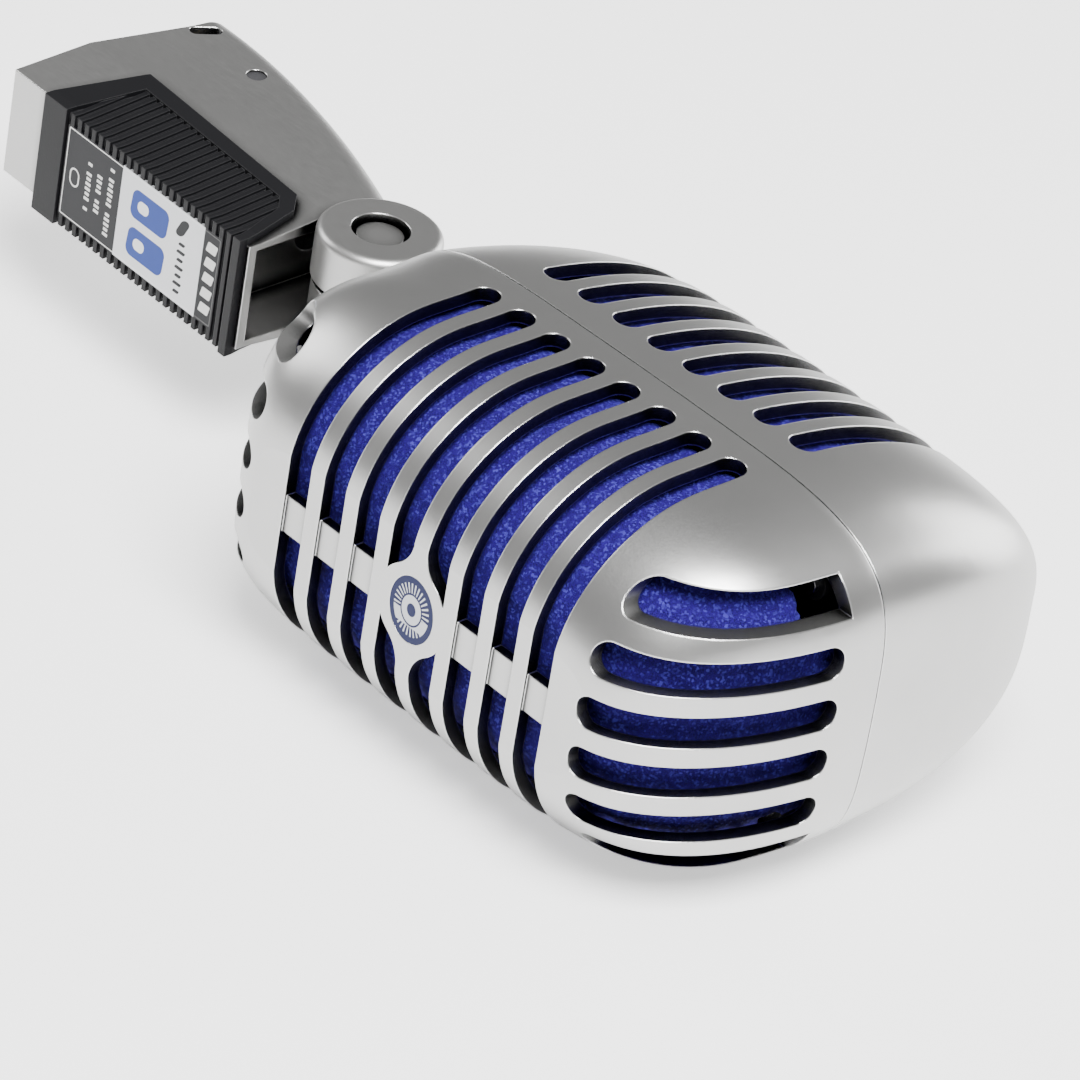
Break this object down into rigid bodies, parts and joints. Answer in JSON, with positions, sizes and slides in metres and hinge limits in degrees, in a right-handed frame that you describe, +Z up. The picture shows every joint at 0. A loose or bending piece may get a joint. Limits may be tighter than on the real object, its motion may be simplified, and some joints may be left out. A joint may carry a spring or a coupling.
{
  "type": "stage microphone",
  "caption": "Vintage-style stage microphone: slotted satin die-cast head with blue foam behind the slots, tilting on a fork over a wedge-shaped base with a black ribbed nameplate.",
  "frame": {"origin": "centre of the stand thread's mouth in the foot of the base", "axes": "+X runs from the stand thread to the crown of the head, -Y is the badge side, +Z is up as the microphone lies on one side of its head"},
  "size_m": [0.1865, 0.0799, 0.0572],
  "materials": {
    "head_casting": "satin bead-blasted die casting",
    "base_casting": "satin bead-blasted die casting",
    "badge_enamel": "gloss enamel",
    "foam": "open-cell foam",
    "black_plastic": "semi-matte moulding",
    "screw_steel": "machined",
    "cartridge_shell": "anodised",
    "diaphragm_film": "thin film",
    "copper_wire": "enamelled winding",
    "magnet_iron": "matt",
    "shock_rubber": "matt",
    "nylon": "smooth",
    "label_print": "printed foil",
    "contact_brass": "plated"
  },
  "bodies": {
    "base": {"base_body": "base_casting", "pivot_pin": "screw_steel", "upper_washer": "nylon", "lower_washer": "nylon", "nameplate": "black_plastic", "label_plate": "label_print", "connector_insert": "black_plastic", "contact_pins": "contact_brass", "set_screw": "screw_steel"},
    "head": {"front_grille": "head_casting", "rear_grille": "head_casting", "badge": "badge_enamel", "front_foam": "foam", "rear_foam": "foam", "seam_frame": "black_plastic", "frame_screws": "screw_steel", "cartridge_case": "cartridge_shell", "front_cap": "cartridge_shell", "diaphragm": "diaphragm_film", "voice_coil": "copper_wire", "yoke": "screw_steel", "magnet": "magnet_iron", "pole_piece": "screw_steel", "shock_ring_front": "shock_rubber", "shock_ring_rear": "shock_rubber", "cradle": "black_plastic", "neck": "base_casting", "transformer": "magnet_iron"}
  },
  "joints": [
    {"name": "head_tilt", "type": "hinge", "parent": "base", "child": "head", "pos_m": [0.0673, 0.0059, 0], "axis": [0, 0, 1], "range_deg": [-45, 60]}
  ]
}
